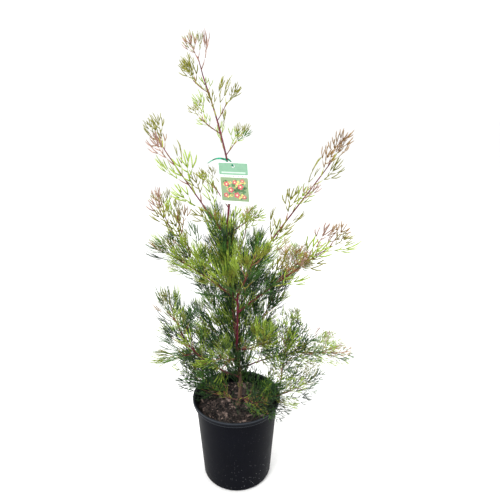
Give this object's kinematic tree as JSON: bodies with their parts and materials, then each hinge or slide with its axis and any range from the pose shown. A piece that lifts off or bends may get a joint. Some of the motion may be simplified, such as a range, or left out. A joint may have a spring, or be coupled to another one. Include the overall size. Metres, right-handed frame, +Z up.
{
  "type": "potted grevillea shrub",
  "caption": "Young upright grevillea with red stems and finely divided leaves, in a round black nursery pot, with a hanging plant label.",
  "frame": {"origin": "middle of the pot's flat underside", "axes": "+Z up along the pot's axis and the stem, +X to the right and +Y to the back as seen in the picture"},
  "size_m": [0.4417, 0.3057, 0.971],
  "materials": {
    "pot_plastic": "satin moulded, lightly dusty",
    "bark_mix": "rough moist bark chips",
    "young_bark": "dull grey-brown bark",
    "crimson_wood": "satin crimson young bark",
    "leaf_green": "satin leaf",
    "leaf_deep_green": "satin leaf",
    "leaf_bronze": "satin young leaf",
    "printed_card": "printed plastic card, satin",
    "tie_plastic": "smooth"
  },
  "bodies": {
    "root": {"bough_back_high": "crimson_wood", "bough_back_low": "crimson_wood", "bough_back_mid": "crimson_wood", "bough_back_top": "crimson_wood", "bough_front_foot": "crimson_wood", "bough_front_high": "crimson_wood", "bough_front_left": "crimson_wood", "bough_front_right": "crimson_wood", "bough_left_foot": "crimson_wood", "bough_left_high": "crimson_wood", "bough_left_low": "crimson_wood", "bough_left_low_fork": "crimson_wood", "bough_left_mid": "crimson_wood", "bough_left_small": "crimson_wood", "bough_left_upper": "crimson_wood", "bough_left_upper_fork": "crimson_wood", "bough_right_back": "crimson_wood", "bough_right_foot": "crimson_wood", "bough_right_high": "crimson_wood", "bough_right_low": "crimson_wood", "bough_right_mid": "crimson_wood", "bough_right_mid_fork": "crimson_wood", "bough_right_twig": "crimson_wood", "foliage_back_high": "leaf_deep_green", "foliage_back_low": "leaf_deep_green", "foliage_back_mid": "leaf_deep_green", "foliage_back_top": "leaf_green", "foliage_collar_left": "leaf_green", "foliage_collar_right": "leaf_green", "foliage_front_foot": "leaf_green", "foliage_front_high": "leaf_green", "foliage_front_left": "leaf_deep_green", "foliage_front_right": "leaf_green", "foliage_leader_left": "leaf_green", "foliage_leader_right": "leaf_green", "foliage_leader_tip": "leaf_bronze", "foliage_left_foot": "leaf_deep_green", "foliage_left_high": "leaf_bronze", "foliage_left_low": "leaf_green", "foliage_left_low_fork": "leaf_green", "foliage_left_mid": "leaf_green", "foliage_left_small": "leaf_deep_green", "foliage_left_upper": "leaf_green", "foliage_left_upper_fork": "leaf_bronze", "foliage_right_back": "leaf_deep_green", "foliage_right_foot": "leaf_green", "foliage_right_high": "leaf_bronze", "foliage_right_low": "leaf_green", "foliage_right_mid": "leaf_green", "foliage_right_mid_fork": "leaf_bronze", "foliage_right_twig": "leaf_green", "foliage_waist_left": "leaf_green", "foliage_waist_right": "leaf_green", "label_tie": "tie_plastic", "plant_label": "printed_card", "pot": "pot_plastic", "potting_mix": "bark_mix", "second_stem": "crimson_wood", "trunk": "young_bark"}
  },
  "joints": []
}
